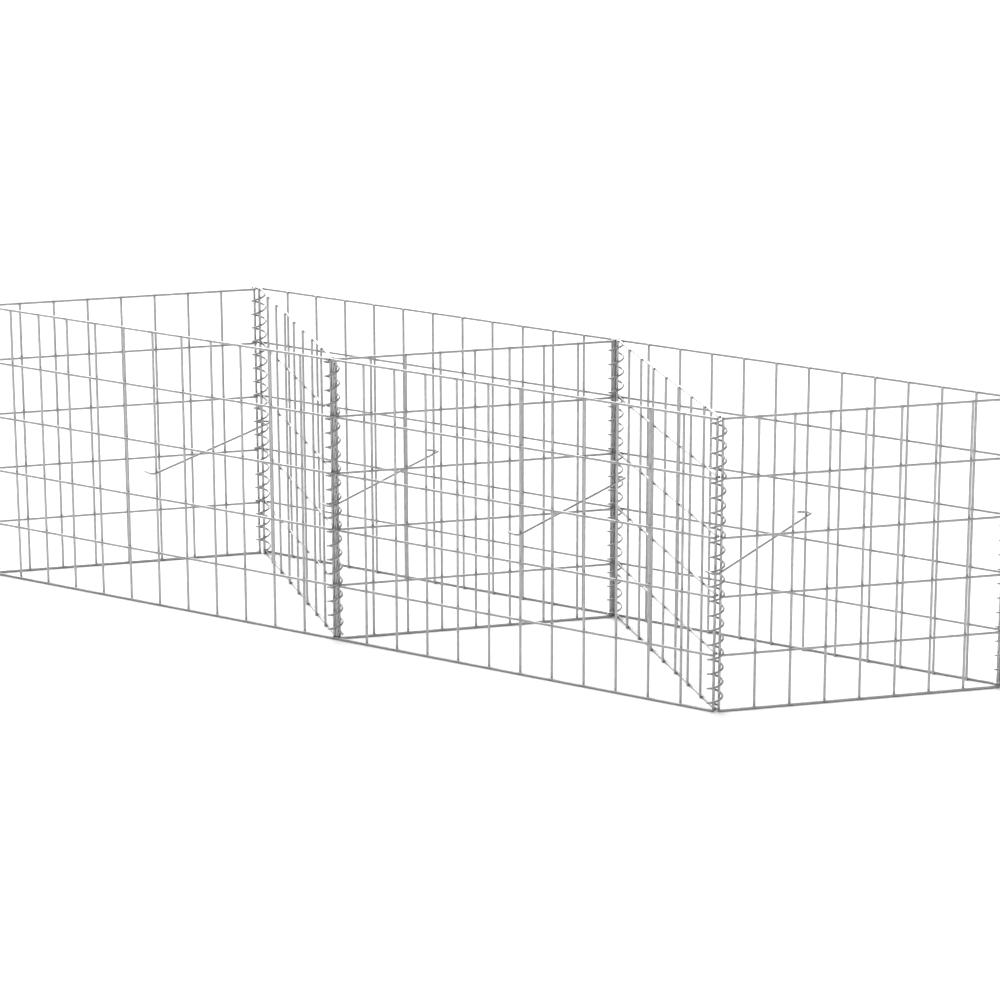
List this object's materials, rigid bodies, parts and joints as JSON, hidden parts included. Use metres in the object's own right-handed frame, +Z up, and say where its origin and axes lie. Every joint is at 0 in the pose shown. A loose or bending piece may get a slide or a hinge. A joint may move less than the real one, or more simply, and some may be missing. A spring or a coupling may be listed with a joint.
{
  "type": "empty two-bay gabion wall of welded wire mesh",
  "caption": "Free-standing empty gabion wall: upright welded mesh panels in a triangle truss plan, laced at the posts with wire spirals and tied across with brace hooks.",
  "frame": {"origin": "on the ground under the middle of the whole wall", "axes": "+X along the front and back panels, +Y from the front row of posts to the back row, +Z up"},
  "size_m": [1.8404, 0.3826, 0.5],
  "materials": {
    "mesh_wire": "bright galvanised, lightly dulled",
    "spiral_wire": "bright galvanised, drawn",
    "brace_wire": "bright galvanised, drawn"
  },
  "bodies": {
    "root": {"front_panel_left": "mesh_wire", "front_panel_right": "mesh_wire", "back_panel_left": "mesh_wire", "back_panel_right": "mesh_wire", "end_panel_left": "mesh_wire", "cross_panel_middle": "mesh_wire", "end_panel_right": "mesh_wire", "diagonal_panel_left": "mesh_wire", "diagonal_panel_right": "mesh_wire", "spiral_front_left": "spiral_wire", "spiral_front_middle": "spiral_wire", "spiral_front_right": "spiral_wire", "spiral_back_left": "spiral_wire", "spiral_back_middle": "spiral_wire", "spiral_back_right": "spiral_wire", "brace_hook_front_middle": "brace_wire", "brace_hook_front_right": "brace_wire", "brace_hook_back_left": "brace_wire", "brace_hook_back_middle": "brace_wire"}
  },
  "joints": []
}
